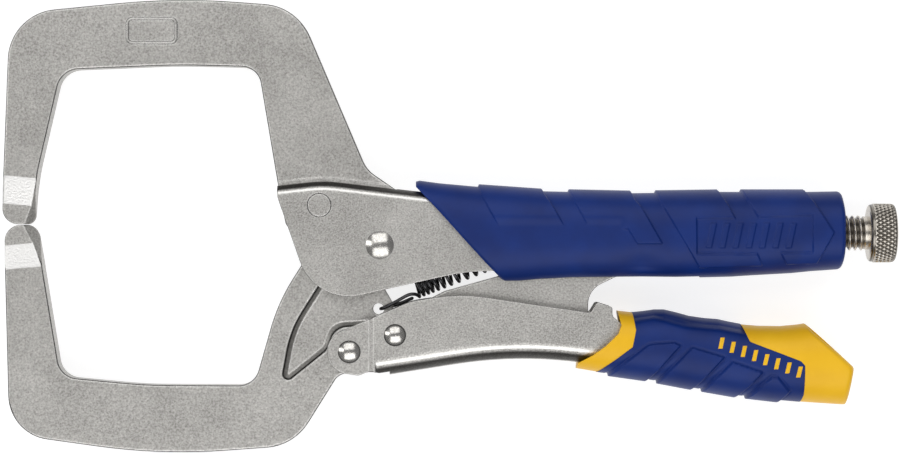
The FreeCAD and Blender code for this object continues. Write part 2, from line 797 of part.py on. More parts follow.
os.makedirs("parts", exist_ok=True)
write("fixed_jaw", make_fixed_jaw())
write("moving_jaw", make_moving_jaw())
write("handle_channel", make_handle_shell())
write("fixed_jaw_rivet", make_fixed_jaw_rivet())
write("main_pivot_rivet", domed_rivet(main_pivot, main_rivet_radius, shell_half))
write("spring_anchor_pin", disc(anchor_place(), anchor_pin_radius, -shell_half, shell_half))
write("lever", make_lever())
write("lever_pivot_rivet", domed_rivet(lever_pivot, lever_rivet_radius, lug_half))
write("link_pivot_rivet", domed_rivet(link_pivot, link_rivet_radius, lever_half))
write("toggle_link", make_toggle_link())
write("adjusting_screw", make_adjusting_screw())
write("return_spring", make_return_spring())
write("upper_grip", make_upper_grip())
core, sleeve, marks = make_lower_grip()
write("lower_grip_core", core)
write("lower_grip_sleeve", sleeve)
write("lower_grip_marks", marks)
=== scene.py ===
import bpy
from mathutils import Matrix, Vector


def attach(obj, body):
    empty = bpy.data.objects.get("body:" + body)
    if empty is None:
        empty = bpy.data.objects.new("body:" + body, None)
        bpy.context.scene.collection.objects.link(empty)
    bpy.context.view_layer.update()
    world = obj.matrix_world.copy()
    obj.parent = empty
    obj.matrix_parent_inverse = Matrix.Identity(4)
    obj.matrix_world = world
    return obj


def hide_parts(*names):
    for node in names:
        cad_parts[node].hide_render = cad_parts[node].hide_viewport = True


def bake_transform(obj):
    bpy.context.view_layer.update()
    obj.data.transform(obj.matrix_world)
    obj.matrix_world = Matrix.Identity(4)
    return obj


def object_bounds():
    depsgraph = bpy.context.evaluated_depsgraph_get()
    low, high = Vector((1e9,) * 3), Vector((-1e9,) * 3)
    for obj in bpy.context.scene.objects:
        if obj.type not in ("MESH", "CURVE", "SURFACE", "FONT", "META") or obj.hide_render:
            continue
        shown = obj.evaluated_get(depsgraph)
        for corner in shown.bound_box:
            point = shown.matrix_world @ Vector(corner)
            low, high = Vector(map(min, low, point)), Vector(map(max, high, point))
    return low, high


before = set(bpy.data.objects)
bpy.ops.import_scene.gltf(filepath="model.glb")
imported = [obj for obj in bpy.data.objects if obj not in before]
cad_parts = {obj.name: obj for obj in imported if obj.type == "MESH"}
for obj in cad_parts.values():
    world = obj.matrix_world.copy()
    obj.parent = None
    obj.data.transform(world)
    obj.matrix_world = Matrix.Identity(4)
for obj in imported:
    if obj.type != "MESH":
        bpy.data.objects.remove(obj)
cad_box = [list(corner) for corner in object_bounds()]

import math

import bmesh
import bpy
import numpy as np
from mathutils import Vector

# ---------------------------------------------------------------- fixed jaw
# The upper half of the C, drop-forged in medium-carbon steel, trimmed, blasted and nickel plated.
# Its tang goes down into the handle's folded channel and a flush rivet holds it there.
# The mesh is the forging itself; the finish below gives the blasted grain under thin nickel.


def linear(hex_colour):
    """sRGB hex value as the linear RGBA that a shader wants."""
    channels = [int(hex_colour[i:i + 2], 16) / 255 for i in (1, 3, 5)]
    turned = [c / 12.92 if c <= 0.04045 else ((c + 0.055) / 1.055) ** 2.4 for c in channels]
    return (*turned, 1.0)


def per_mm(size):
    """Scale of a pattern whose features are this many millimetres apart, in object coordinates."""
    return 1000.0 / size


def add(tree, kind, settings, links):
    """Adds one node: settings are its properties or unlinked sockets, links its linked sockets."""
    node = tree.nodes.new(kind)
    for name, value in settings.items():
        if isinstance(name, str) and hasattr(node, name):
            setattr(node, name, value)
        else:
            node.inputs[name].default_value = value
    for name, source in links.items():
        tree.links.new(source, node.inputs[name])
    return node


def new_material(name):
    """Empty node material with its output, ready for a surface."""
    material = bpy.data.materials.new(name)
    material.use_nodes = True
    material.node_tree.nodes.clear()
    output = material.node_tree.nodes.new("ShaderNodeOutputMaterial")
    return material, material.node_tree, output


def dress(node_name, material):
    """Gives a CAD node its finish."""
    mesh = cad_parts[node_name].data
    mesh.materials.clear()
    mesh.materials.append(material)


def band(tree, value, low, high, soft):
    """1 where the value lies between low and high, 0 outside, with soft ends."""
    rise = add(tree, "ShaderNodeMapRange", {"From Min": low - soft, "From Max": low + soft},
               {"Value": value})
    fall = add(tree, "ShaderNodeMapRange", {"From Min": high + soft, "From Max": high - soft},
               {"Value": value})
    return add(tree, "ShaderNodeMath", {"operation": "MULTIPLY"},
               {0: rise.outputs[0], 1: fall.outputs[0]}).outputs[0]


def part_of(tree, direction, axis):
    """How much of a direction or a place lies along one axis, whichever way it points."""
    parts = add(tree, "ShaderNodeSeparateXYZ", {}, {"Vector": direction})
    size = add(tree, "ShaderNodeMath", {"operation": "ABSOLUTE"}, {0: parts.outputs[axis]})
    return size.outputs[0]


def blasted_nickel(name, dark, light, roughness, grain, depth):
    """Steel blasted before plating: a satin, finely pitted skin that glitters grain by grain."""
    material, tree, output = new_material(name)
    place = add(tree, "ShaderNodeTexCoord", {}, {}).outputs["Object"]
    pits = add(tree, "ShaderNodeTexNoise",
               {"Scale": per_mm(grain), "Detail": 3.0, "Roughness": 0.7}, {"Vector": place})
    cloud = add(tree, "ShaderNodeTexNoise", {"Scale": per_mm(14.0), "Detail": 2.0},
                {"Vector": place})
    both = add(tree, "ShaderNodeMath", {"operation": "MULTIPLY_ADD", 1: 0.25},
               {0: cloud.outputs["Fac"], 2: pits.outputs["Fac"]})
    tone = add(tree, "ShaderNodeMapRange", {"From Min": 0.36, "From Max": 0.92},
               {"Value": both.outputs[0]})
    colour = add(tree, "ShaderNodeMix", {"data_type": "RGBA", 6: linear(dark), 7: linear(light)},
                 {0: tone.outputs[0]})
    spread = 0.08
    dull = add(tree, "ShaderNodeMapRange",
               {"From Min": 0.3, "From Max": 0.7, "To Min": roughness + spread,
                "To Max": roughness - spread}, {"Value": pits.outputs["Fac"]})
    bump = add(tree, "ShaderNodeBump", {"Strength": 0.8, "Distance": depth / 1000},
               {"Height": pits.outputs["Fac"]})
    shader = add(tree, "ShaderNodeBsdfPrincipled", {"Metallic": 1.0},
                 {"Base Color": colour.outputs[2], "Roughness": dull.outputs[0],
                  "Normal": bump.outputs[0]})
    tree.links.new(shader.outputs[0], output.inputs["Surface"])
    return material, tree, shader


def mix_into(tree, shader, socket, amount, other):
    """Mixes what feeds a socket of the shader with another value, by an amount from 0 to 1."""
    before = shader.inputs[socket].links[0].from_socket
    kind, first, second, out = ("RGBA", 6, 7, 2) if socket == "Base Color" else ("FLOAT", 2, 3, 0)
    mixed = add(tree, "ShaderNodeMix", {"data_type": kind, second: other},
                {0: amount, first: before})
    tree.links.new(mixed.outputs[out], shader.inputs[socket])


def painted_edge_light(tree, shader, radius, darkness):
    """Edges rounded in the shading, with painted light on them: a painted highlight line where they
    face the lights and a painted shade line where they turn away.
    """
    edge = add(tree, "ShaderNodeBevel", {"samples": 6, "Radius": radius / 1000}, {})
    upright = part_of(tree, edge.outputs[0], "Z")
    place = add(tree, "ShaderNodeTexCoord", {}, {}).outputs["Object"]
    # The painted shade line keeps to the outer edges, out of the pocket and the inside of the
    # sheet.
    outer = add(tree, "ShaderNodeMapRange",
                {"From Min": 0.0036, "From Max": 0.0040, "To Max": darkness},
                {"Value": part_of(tree, place, "Z")})
    # Painted shade: a dark line where the rounded edge turns away from the lights.
    away = add(tree, "ShaderNodeMath", {"operation": "MULTIPLY"},
               {0: band(tree, upright, 0.18, 0.86, 0.04), 1: outer.outputs[0]})
    # Painted highlight: a near-white, smoother line where the rounded edge faces the lights.
    burnished = add(tree, "ShaderNodeMath", {"operation": "MULTIPLY", 1: 0.6},
                    {0: band(tree, upright, 0.935, 0.982, 0.01)})
    mix_into(tree, shader, "Base Color", away.outputs[0], linear("#242220"))
    mix_into(tree, shader, "Base Color", burnished.outputs[0], linear("#F6F5F2"))
    mix_into(tree, shader, "Roughness", burnished.outputs[0], 0.28)
    bump = shader.inputs["Normal"].links[0].from_node
    tree.links.new(edge.outputs[0], bump.inputs["Normal"])


forging_finish, tree, shader = blasted_nickel("forged steel, blasted and nickel plated",
                                              "#7C7A76", "#D0CECA", 0.42, 0.6, 0.1)
# Painted light on the forgings' edges: a painted shade line and a painted highlight line.
painted_edge_light(tree, shader, 0.8, 1.0)
# The tips' sloping flats are ground after blasting, so they are smooth; their far brighter colour
# is partly the ground steel and partly a painted highlight for the lights they face.
facing = add(tree, "ShaderNodeNewGeometry", {}, {}).outputs["True Normal"]
ground = add(tree, "ShaderNodeMath", {"operation": "MULTIPLY"},
             {0: band(tree, part_of(tree, facing, "Y"), 0.12, 0.2, 0.02),
              1: band(tree, part_of(tree, facing, "Z"), 0.95, 1.1, 0.02)}).outputs[0]
# Partly painted highlight: the ground flats' near-white colour.
mix_into(tree, shader, "Base Color", ground, linear("#D3D2D0"))
mix_into(tree, shader, "Roughness", ground, 0.3)
dress("fixed_jaw", forging_finish)

# ---------------------------------------------------------------- handle channel
# Upper handle, folded from 2.4 mm steel sheet into a channel and rolled round the screw behind.
# Nickel plated after forming, so it is a little smoother and brighter than the forgings.
sheet_finish, tree, shader = blasted_nickel("pressed steel sheet, nickel plated",
                                            "#787672", "#D4D2CE", 0.37, 0.5, 0.13)
# Painted light on the sheet's edges: a painted shade line and a painted highlight line.
painted_edge_light(tree, shader, 0.6, 0.85)
dress("handle_channel", sheet_finish)

# ---------------------------------------------------------------- rivets
# Steel rivets: one ground flush through the jaw's tang and three domed ones at the pivots, and
# the plain pin inside the handle that the spring's rear hook goes round.
# The heads are polished by the riveting tool, with a small dimple in the middle.
rivet_finish, tree, shader = blasted_nickel("headed rivet steel, burnished",
                                            "#A19E99", "#DEDCD7", 0.22, 0.6, 0.012)
# Painted shade: the dome is darkened where it slopes down to the sheet.
facing = add(tree, "ShaderNodeNewGeometry", {}, {}).outputs["Normal"]
rim = add(tree, "ShaderNodeMapRange", {"From Min": 0.84, "From Max": 0.77},
          {"Value": part_of(tree, facing, "Z")})
mix_into(tree, shader, "Base Color", rim.outputs[0], linear("#3B3936"))
for node_name in ("main_pivot_rivet", "lever_pivot_rivet", "link_pivot_rivet",
                  "spring_anchor_pin"):
    dress(node_name, rivet_finish)
# The flush one is ground with the sheet and plated over, so only its outline shows.
dress("fixed_jaw_rivet", sheet_finish)

# ---------------------------------------------------------------- moving jaw
# The lower half of the C, a forging like the upper one, with a pocket pressed in where it enters
# the handle.  It turns on the main rivet and carries the lever's rivet and the spring's eye.
dress("moving_jaw", forging_finish)

# ---------------------------------------------------------------- lever and link
# The lever is 2.2 mm sheet folded to a U, with two lugs at the front and a bent stop tab.
# The toggle link is a stamped plate inside it; the lever is plated like the handle, and the link
# gets the forgings' finish.
dress("lever", sheet_finish)
dress("toggle_link", forging_finish)

# ---------------------------------------------------------------- return spring
# Extension spring of black-oxidised music wire.  Its front hook goes through the moving jaw's eye
# and its rear hook round a pin inside the handle, so it pulls the jaw open when the lever lets go.


def mesh_piece(name, points, faces, smooth=True):
    """Object made from points in millimetres."""
    mesh = bpy.data.meshes.new(name)
    mesh.from_pydata((np.asarray(points, float) / 1000).tolist(), [], faces)
    mesh.update()
    if smooth:
        mesh.shade_smooth()
    piece = bpy.data.objects.new(name, mesh)
    bpy.context.scene.collection.objects.link(piece)
    return piece


def grid_faces(rows, columns, closed=True):
    """Quads between the rows of a grid whose columns may close into a ring."""
    last = columns if closed else columns - 1
    return [(r * columns + c, r * columns + (c + 1) % columns,
             (r + 1) * columns + (c + 1) % columns, (r + 1) * columns + c)
            for r in range(rows - 1) for c in range(last)]


def wire_along(name, path, radius, sides=12):
    """Round wire that follows a path of close points, with rounded-off ends."""
    path = np.asarray(path, float)
    tangents = np.gradient(path, axis=0)
    tangents /= np.linalg.norm(tangents, axis=1)[:, None]
    not_along_the_wire = (0.31, 0.17, 0.93)
    end_sizes = (0.25, 0.8, 1.0)
    angles = np.arange(sides) * 2 * math.pi / sides
    side = np.cross(tangents[0], not_along_the_wire)
    side /= np.linalg.norm(side)
    rings = []
    for i, (here, along) in enumerate(zip(path, tangents)):
        side = side - along * np.dot(side, along)
        side /= np.linalg.norm(side)
        other = np.cross(along, side)
        from_end = min(i, len(path) - 1 - i)
        size = radius * end_sizes[min(from_end, 2)]
        rings.append(here + size * (np.cos(angles)[:, None] * side
                                    + np.sin(angles)[:, None] * other))
    faces = grid_faces(len(rings), sides)
    count = len(rings) * sides
    faces += [tuple(range(sides))[::-1], tuple(range(count - sides, count))]
    return mesh_piece(name, np.vstack(rings), faces)


def smooth_path(corners, step=0.25):
    """Close points along a Catmull-Rom curve through a wire's corner points."""
    corners = [np.asarray(c, float) for c in corners]
    ends = [2 * corners[0] - corners[1]] + corners + [2 * corners[-1] - corners[-2]]
    points = []
    for a, b, c, d in zip(ends, ends[1:], ends[2:], ends[3:]):
        count = max(2, int(np.linalg.norm(c - b) / step))
        for t in np.arange(count) / count:
            points.append(0.5 * (2 * b + (c - a) * t + (2 * a - 5 * b + 4 * c - d) * t * t
                                 + (3 * b - a - 3 * c + d) * t ** 3))
    points.append(corners[-1])
    return points


coil_front = np.array((124.1, -19.8, 0.0))
anchor = np.array((158.6, -6.6, 0.0))
axis = (anchor - coil_front) / np.linalg.norm(anchor - coil_front)
across = np.array((-axis[1], axis[0], 0.0))
upward = np.array((0.0, 0.0, 1.0))
coil_length, coil_turns, coil_radius, wire_radius = 30.5, 13, 2.95, 0.54
# The first turns lie close together and the rest are pulled open towards the rear.
degrees_a_step, first_angle = 10, 150
steps = np.arange(coil_turns * 360 // degrees_a_step + 1)
opening = 1.6 + 1.45 * np.clip((steps / steps[-1] - 0.2) / 0.4, 0, 1)
travel = np.concatenate([[0], np.cumsum(opening[:-1])])
travel *= coil_length / travel[-1]
coil = []
for step, reached in zip(steps, travel):
    angle = math.radians(degrees_a_step * int(step) + first_angle)
    coil.append(coil_front + axis * reached
                + coil_radius * (math.cos(angle) * across + math.sin(angle) * upward))
front_hook = smooth_path([
    coil[0], coil[0] + np.array((-1.3, 0.5, 1.3)), (121.6, -22.0, 3.2), (117.6, -24.2, 3.45),
    (114.6, -25.7, 3.4), (113.3, -26.2, 1.6), (113.3, -26.3, -1.6), (114.6, -26.1, -3.4),
    (118.4, -25.0, -3.45), (123.4, -22.9, -3.3)])[1:]
pin_room = 2.1
rear_hook = smooth_path([
    coil[-1], anchor - axis * 2.2 + across * 2.0, anchor + across * pin_room,
    anchor + axis * pin_room, anchor - across * pin_room, anchor - axis * 1.2 - across * 1.6])[1:]
return_spring = wire_along("return_spring_wire", front_hook[::-1] + coil + rear_hook, wire_radius)


def plain(name, settings):
    """Material whose surface is the same all over."""
    material, tree, output = new_material(name)
    shader = add(tree, "ShaderNodeBsdfPrincipled", settings, {})
    tree.links.new(shader.outputs[0], output.inputs["Surface"])
    return material, tree, shader


# Oil-blackened wire: almost black, with paler patches where the oxide has worn thin.
spring_finish, tree, shader = plain("music wire, black oxide, oiled",
                                    {"Metallic": 0.8, "Roughness": 0.26})
place = add(tree, "ShaderNodeTexCoord", {}, {}).outputs["Object"]
worn = add(tree, "ShaderNodeTexNoise", {"Scale": per_mm(0.9), "Detail": 3.0}, {"Vector": place})
mixed = add(tree, "ShaderNodeMix",
            {"data_type": "RGBA", 6: linear("#1B1B1D"), 7: linear("#5E5E60")},
            {0: worn.outputs["Fac"]})
tree.links.new(mixed.outputs[2], shader.inputs["Base Color"])
return_spring.data.materials.append(spring_finish)
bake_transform(return_spring)
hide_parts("return_spring")

# ---------------------------------------------------------------- adjusting screw
# Turned steel screw, 7/16 in with a 1.81 mm pitch, and a knob knurled in diamonds, in one piece.
# It sets the opening: its end inside the handle is what the toggle link pushes against.
screw_y = -2.65
screw_tip, neck_end, knob_end = 211.4, 265.2, 273.7
major, thread_cut, pitch = 5.5, 1.05, 1.814
neck_radius = major - 0.35


def turned(xs, angles, radius):
    """Solid of revolution about the screw's axis; radius is a table, one row for each x."""
    ys = screw_y + radius * np.cos(angles)[None, :]
    zs = radius * np.sin(angles)[None, :]
    points = np.stack([np.broadcast_to(np.asarray(xs)[:, None], ys.shape), ys, zs], 2)
    faces = grid_faces(len(xs), len(angles))
    return points.reshape(-1, 3), faces


def ramp(low, high, value):
    """0 below low, 1 above high, with a soft change between."""
    t = np.clip((np.asarray(value, float) - low) / (high - low), 0, 1)
    return t * t * (3 - 2 * t)


def triangle(value):
    """Repeats from 0 up to 1 and back, once for each whole step of the value."""
    return 1 - np.abs(2 * (value % 1.0) - 1)


sides, rows_a_turn = 72, 12
angles = np.arange(sides) * 2 * math.pi / sides
xs = np.arange(screw_tip, neck_end - 0.2, pitch / rows_a_turn)
wave = triangle(xs[:, None] / pitch - angles[None, :] / (2 * math.pi))
root_flat, flank = 0.1, 0.72
crest = np.clip((wave - root_flat) / flank, 0, 1)
shank = major - thread_cut + thread_cut * crest
runout = ramp(neck_end - 1.9, neck_end - 1.1, xs)[:, None]
shank = shank * (1 - runout) + neck_radius * runout
chamfer = 0.9
shank = shank - chamfer * ramp(screw_tip + 1.4, screw_tip, xs)[:, None]
xs = np.concatenate([[screw_tip], xs, [neck_end + 0.3]])
shank = np.vstack([np.full((1, sides), 0.4), shank, np.full((1, sides), neck_radius)])
thread_points, thread_faces = turned(xs, angles, shank)

teeth, samples = 42, 10
angles = np.arange(teeth * samples) * 2 * math.pi / (teeth * samples)
knurl_start, knurl_end = neck_end + 1.5, knob_end - 1.3
knob_radius, knurl_depth, knurl_angle = 9.2, 0.5, 30
key_across, socket_depth, drill_point = 6.0, 6.0, 1.0
knurled = np.arange(knurl_start, knurl_end + 0.01, 0.11)
# Rounded shoulders before and behind the knurled band.
xs = np.concatenate([neck_end + np.array([0, 0, 0.08, 0.3, 0.6, 0.95, 1.3]), knurled,
                     knob_end - np.array([1.0, 0.7, 0.42, 0.2, 0.05, 0.0])])
base = np.concatenate([[5.0, 8.0, 8.35, 8.7, 8.85, 8.95, 8.9],
                       np.full(len(knurled), knob_radius), [9.08, 8.95, 8.7, 8.35, 7.9, 7.4]])
lead = xs[:, None] * math.tan(math.radians(knurl_angle)) / knob_radius
turn = angles[None, :] + lead
other = angles[None, :] - lead
diamond = np.minimum(triangle(turn * teeth / (2 * math.pi)),
                     triangle(other * teeth / (2 * math.pi)))
strength = (ramp(knurl_start - 0.05, knurl_start + 0.25, xs)
            * ramp(knob_end - 0.4, knob_end - 1.6, xs))
knob = base[:, None] - knurl_depth * strength[:, None] * (1 - np.clip(diamond * 1.7, 0, 1))
hexagon = key_across / 2 / np.cos((angles % (math.pi / 3)) - math.pi / 6)
xs = np.concatenate([xs, [knob_end, knob_end - 0.3, knob_end - socket_depth,
                          knob_end - socket_depth - drill_point]])
knob = np.vstack([knob, hexagon + 0.3, hexagon, hexagon, np.full_like(hexagon, 0.05)])
knob_points, knob_faces = turned(xs, angles, knob)
offset = len(thread_points)
adjusting_screw = mesh_piece("adjusting_screw_turned", np.vstack([thread_points, knob_points]),
                             thread_faces + [tuple(v + offset for v in f) for f in knob_faces])


def turned_steel():
    """Bright-plated turned steel: turning rings along the axis, with painted shade in the thread's
    roots and the knurl's grooves.
    """
    material, tree, shader = plain("turned steel, bright nickel plate", {"Metallic": 1.0})
    place = add(tree, "ShaderNodeTexCoord", {}, {}).outputs["Object"]
    stretch = add(tree, "ShaderNodeMapping", {"Scale": (per_mm(0.25), per_mm(6.0), per_mm(6.0))},
                  {"Vector": place})
    rings = add(tree, "ShaderNodeTexNoise", {"Scale": 1.0, "Detail": 2.0},
                {"Vector": stretch.outputs[0]})
    grime = add(tree, "ShaderNodeTexNoise", {"Scale": per_mm(3.0), "Detail": 4.0},
                {"Vector": place})
    surface_tone = add(tree, "ShaderNodeMix",
                {"data_type": "RGBA", 6: linear("#A39B90"), 7: linear("#E2DDD4")},
                {0: grime.outputs["Fac"]})
    # Distance from the screw's axis tells crests from roots; the thread's roots and the knurl's
    # grooves get painted shade.
    spread = add(tree, "ShaderNodeMapping", {"Location": (0.0, -screw_y / 1000, 0.0),
                                             "Scale": (0.0, 1.0, 1.0)}, {"Vector": place})
    reach = add(tree, "ShaderNodeVectorMath", {"operation": "LENGTH"}, {0: spread.outputs[0]})
    root = add(tree, "ShaderNodeMapRange",
               {"From Min": (major - 0.3) / 1000, "From Max": (major - thread_cut) / 1000},
               {"Value": reach.outputs["Value"]})
    groove = band(tree, reach.outputs["Value"], (knob_radius - knurl_depth - 0.1) / 1000,
                  (knob_radius - 0.22) / 1000, 0.00012)
    painted_groove_shade = add(tree, "ShaderNodeMath", {"operation": "MAXIMUM"}, {0: root.outputs[0], 1: groove})
    amount = add(tree, "ShaderNodeMath", {"operation": "MULTIPLY", 1: 0.85}, {0: painted_groove_shade.outputs[0]})
    # The painted shade colour for the roots and grooves.
    mixed = add(tree, "ShaderNodeMix", {"data_type": "RGBA", 7: linear("#2E2A26")},
                {0: amount.outputs[0], 6: surface_tone.outputs[2]})
    dull = add(tree, "ShaderNodeMapRange", {"To Min": 0.2, "To Max": 0.36},
               {"Value": rings.outputs["Fac"]})
    bump = add(tree, "ShaderNodeBump", {"Strength": 0.3, "Distance": 0.00002},
               {"Height": rings.outputs["Fac"]})
    tree.links.new(mixed.outputs[2], shader.inputs["Base Color"])
    tree.links.new(dull.outputs[0], shader.inputs["Roughness"])
    tree.links.new(bump.outputs[0], shader.inputs["Normal"])
    return material


adjusting_screw.data.materials.append(turned_steel())
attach(adjusting_screw, "adjusting_screw")
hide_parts("adjusting_screw")

# ---------------------------------------------------------------- upper grip
# Soft blue elastomer moulded over the handle channel, with four raised pads whose slanted edges
# run over the top, an arrow-shaped panel at the rear and a slot underneath for the toggle link.


def along(table, x):
    """Height of a line given by a few (x, y) points."""
    xs, ys = zip(*table)
    return np.interp(x, xs, ys)


def inside(x, y, outline):
    """Distance inside a closed outline, negative outside; all in millimetres."""
    near = np.full(x.shape, 1e9)
    crossings = np.zeros(x.shape, int)
    for (x0, y0), (x1, y1) in zip(outline, outline[1:] + outline[:1]):
        dx, dy = x1 - x0, y1 - y0
        t = np.clip(((x - x0) * dx + (y - y0) * dy) / (dx * dx + dy * dy), 0, 1)
        near = np.minimum(near, np.hypot(x - x0 - t * dx, y - y0 - t * dy))
        spans = (y0 > y) != (y1 > y)
        with np.errstate(divide="ignore", invalid="ignore"):
            crossings += spans & (x < x0 + (y - y0) * dx / (dy if dy else 1e-9))
    return np.where(crossings % 2 == 1, near, -near)


def grip_rings(starts, ends, top, bottom, half, rows, columns, squareness):
    """Rings of a handle grip between two slanted end lines, each ring a rounded upright section."""
    fine = 4000
    turn = np.linspace(0, 2 * math.pi, fine + 1)[:-1]
    shape_z = np.sign(np.cos(turn)) * np.abs(np.cos(turn)) ** (2 / squareness)
    shape_y = np.sign(np.sin(turn)) * np.abs(np.sin(turn)) ** (2 / squareness)
    step = np.hypot(np.diff(shape_z, append=shape_z[0]), np.diff(shape_y, append=shape_y[0]))
    length = np.concatenate([[0], np.cumsum(step)])[:-1]
    pick = np.interp(np.arange(columns) / columns * (length[-1] + step[-1]), length,
                     np.arange(fine))
    shape_z = np.interp(pick, np.arange(fine), shape_z)[None, :]
    shape_y = np.interp(pick, np.arange(fine), shape_y)[None, :]
    share = rows[:, None]
    y = np.zeros((len(rows), columns))
    # The ends depend on y and the outline on x, so a few rounds settle both.
    for _ in range(8):
        x = starts(y) * (1 - share) + ends(y) * share
        high, low = top(x), bottom(x)
        y = (high + low) / 2 + (high - low) / 2 * shape_y
    return x, y, half(x) * shape_z


def normals_of(x, y, z):
    """Outward direction at each point of a grid of rings."""
    points = np.stack([x, y, z], 2)
    along_row = np.gradient(points, axis=0)
    around = (np.roll(points, -1, axis=1) - np.roll(points, 1, axis=1)) / 2
    normal = np.cross(around, along_row)
    normal /= np.linalg.norm(normal, axis=2)[:, :, None] + 1e-9
    outward = points - points.mean(axis=1)[:, None, :]
    flip = np.sign((normal * outward).sum(axis=2).mean())
    return points, normal * flip


def face_outwards(piece):
    """Turns every face of a closed piece to the outside."""
    work = bmesh.new()
    work.from_mesh(piece.data)
    bmesh.ops.recalc_face_normals(work, faces=work.faces)
    work.to_mesh(piece.data)
    work.free()
    return piece


def closed_grip(name, points):
    """Grid of rings closed by a fan at each end."""
    rows, columns = points.shape[:2]
    flat = points.reshape(-1, 3)
    ends = np.vstack([points[0].mean(axis=0), points[-1].mean(axis=0)])
    faces = grid_faces(rows, columns)
    count = rows * columns
    for c in range(columns):
        after = (c + 1) % columns
        faces.append((c, count, after))
        faces.append((count - columns + c, count - columns + after, count + 1))
    return face_outwards(mesh_piece(name, np.vstack([flat, ends]), faces))


def prism(name, outline, low, high):
    """Straight block over an outline in the side view."""
    count = len(outline)
    points = [(x, y, low) for x, y in outline] + [(x, y, high) for x, y in outline]
    faces = [tuple(range(count))[::-1], tuple(range(count, 2 * count))]
    faces += [(i, (i + 1) % count, (i + 1) % count + count, i + count) for i in range(count)]
    return face_outwards(mesh_piece(name, points, faces, smooth=False))


def trim(piece, tool, how):
    """Cuts or intersects a piece with a tool, for good, and throws the tool away."""
    modifier = piece.modifiers.new("trim", "BOOLEAN")
    modifier.operation, modifier.solver, modifier.object = how, "EXACT", tool
    graph = bpy.context.evaluated_depsgraph_get()
    done = bpy.data.meshes.new_from_object(piece.evaluated_get(graph))
    piece.modifiers.clear()
    piece.data = done
    bpy.data.objects.remove(tool)
    return piece


def gather(piece, others):
    """Adds the meshes of other pieces to one piece, and throws those pieces away."""
    work = bmesh.new()
    for source in [piece] + others:
        work.from_mesh(source.data)
    work.to_mesh(piece.data)
    work.free()
    for source in others:
        bpy.data.objects.remove(source)
    return piece


def round_over(depth, radius):
    """How far a rounded edge has fallen away, at this depth in from the end."""
    return radius * (1 - np.sqrt(np.clip(1 - (1 - np.clip(depth / radius, 0, 1)) ** 2, 0, 1)))


def rounded(outline, radius, steps=5):
    """The outline with its corners rounded off."""
    made = []
    for i, here in enumerate(outline):
        here, back = np.array(here, float), np.array(outline[i - 1], float)
        ahead = np.array(outline[(i + 1) % len(outline)], float)
        before, after = back - here, ahead - here
        room = 0.45 * min(np.linalg.norm(before), np.linalg.norm(after))
        cut = min(radius, room)
        start = here + before / np.linalg.norm(before) * cut
        end = here + after / np.linalg.norm(after) * cut
        for t in np.linspace(0, 1, steps):
            made.append(tuple((1 - t) ** 2 * start + 2 * t * (1 - t) * here + t * t * end))
    return made


upper_top = [(117, 15.0), (124.5, 14.0), (131.6, 13.0), (142.3, 11.9), (163.8, 10.4),
             (191.6, 9.8), (219.1, 10.2), (246.6, 10.2), (257, 10.4)]
upper_bottom = [(117, -16.6), (150, -18.3), (156.3, -18.2), (162.8, -17.5), (172.2, -16.9),
                (194, -16.6), (205, -16.7), (222, -16.3), (230, -15.8), (241, -15.2),
                (247, -14.6), (257, -13.9)]
upper_half = [(117, 8.6), (135, 10.0), (150, 10.8), (185, 11.7), (215, 12.3), (257, 12.3)]
pads = [
    [(142.0, 17.0), (143.1, 13.1), (144.9, 8.3), (150.1, -1.0), (170.4, -1.2), (166.9, 5.0),
     (164.1, 8.9), (162.7, 11.9), (160.6, 17.0)],
    [(168.4, 17.0), (170.8, 11.9), (173.6, 6.4), (177.8, -1.1), (189.8, -1.4), (192.6, -6.0),
     (200.3, -5.9), (194.0, 5.0), (192.0, 7.3), (190.3, 11.3), (187.9, 17.0)],
    [(196.1, 17.0), (198.2, 11.3), (199.9, 6.7), (211.9, -13.2), (231.3, -12.5), (229.6, -9.0),
     (210.9, -8.9), (210.8, 1.8), (222.7, 1.9), (220.9, 5.3), (217.2, 11.6), (214.0, 17.0)],
    [(222.5, 17.0), (224.8, 11.6), (226.5, 7.6), (229.9, 2.1), (246.6, 2.8), (246.7, -8.6),
     (236.9, -8.7), (238.8, -12.1), (248.1, -11.8), (253.2, -2.5), (248.1, 5.3), (243.9, 11.6),
     (240.3, 17.0)],
]


def upper_front(y):
    """Slanted front edge of the grip, upright above its top corner."""
    corner_x, corner_y = 124.2, 12.2
    return corner_x + (corner_y - np.minimum(y, corner_y)) * 25.4 / 28.5


def upper_rear(y):
    """Rear edge, leaning forward a little at the top and bottom."""
    return 257.0 - 0.5 * ramp(2.0, 11.0, y) - 0.4 * ramp(-9.0, -15.0, y)


rows = np.concatenate([[0, 0.0016, 0.004, 0.007, 0.01], np.linspace(0.0135, 0.985, 540),
                       [0.988, 0.991, 0.994, 0.9965, 0.9985, 1.0]])
x, y, z = grip_rings(upper_front, upper_rear, lambda v: along(upper_top, v),
                     lambda v: along(upper_bottom, v), lambda v: along(upper_half, v),
                     rows, 260, 2.7)
points, outward = normals_of(x, y, z)
front_slant = 0.746
front_way = (x - upper_front(y)) * front_slant
rear_way = upper_rear(y) - x
pad_rise, pad_rim = 0.8, 0.14
gutter_depth, gutter_out, gutter_width = 0.3, 0.42, 0.24
rise = np.zeros(x.shape)
for number, outline in enumerate(pads):
    edge = inside(x, y, outline)
    shown = 1.0
    if number < 2:
        # The two front pads melt into the grip's side below their middle.
        fade = ramp(-0.9, 3.0, y)
        shown = fade + (1 - fade) * ramp(187.0, 190.0, x)
    rim = pad_rise * ramp(-pad_rim, pad_rim, edge) * shown
    gutter = np.exp(-((edge + gutter_out) / gutter_width) ** 2) * (rise <= 0.1) * shown
    rise = np.where(edge > 0, np.maximum(rise, rim), rise + rim - gutter_depth * gutter)
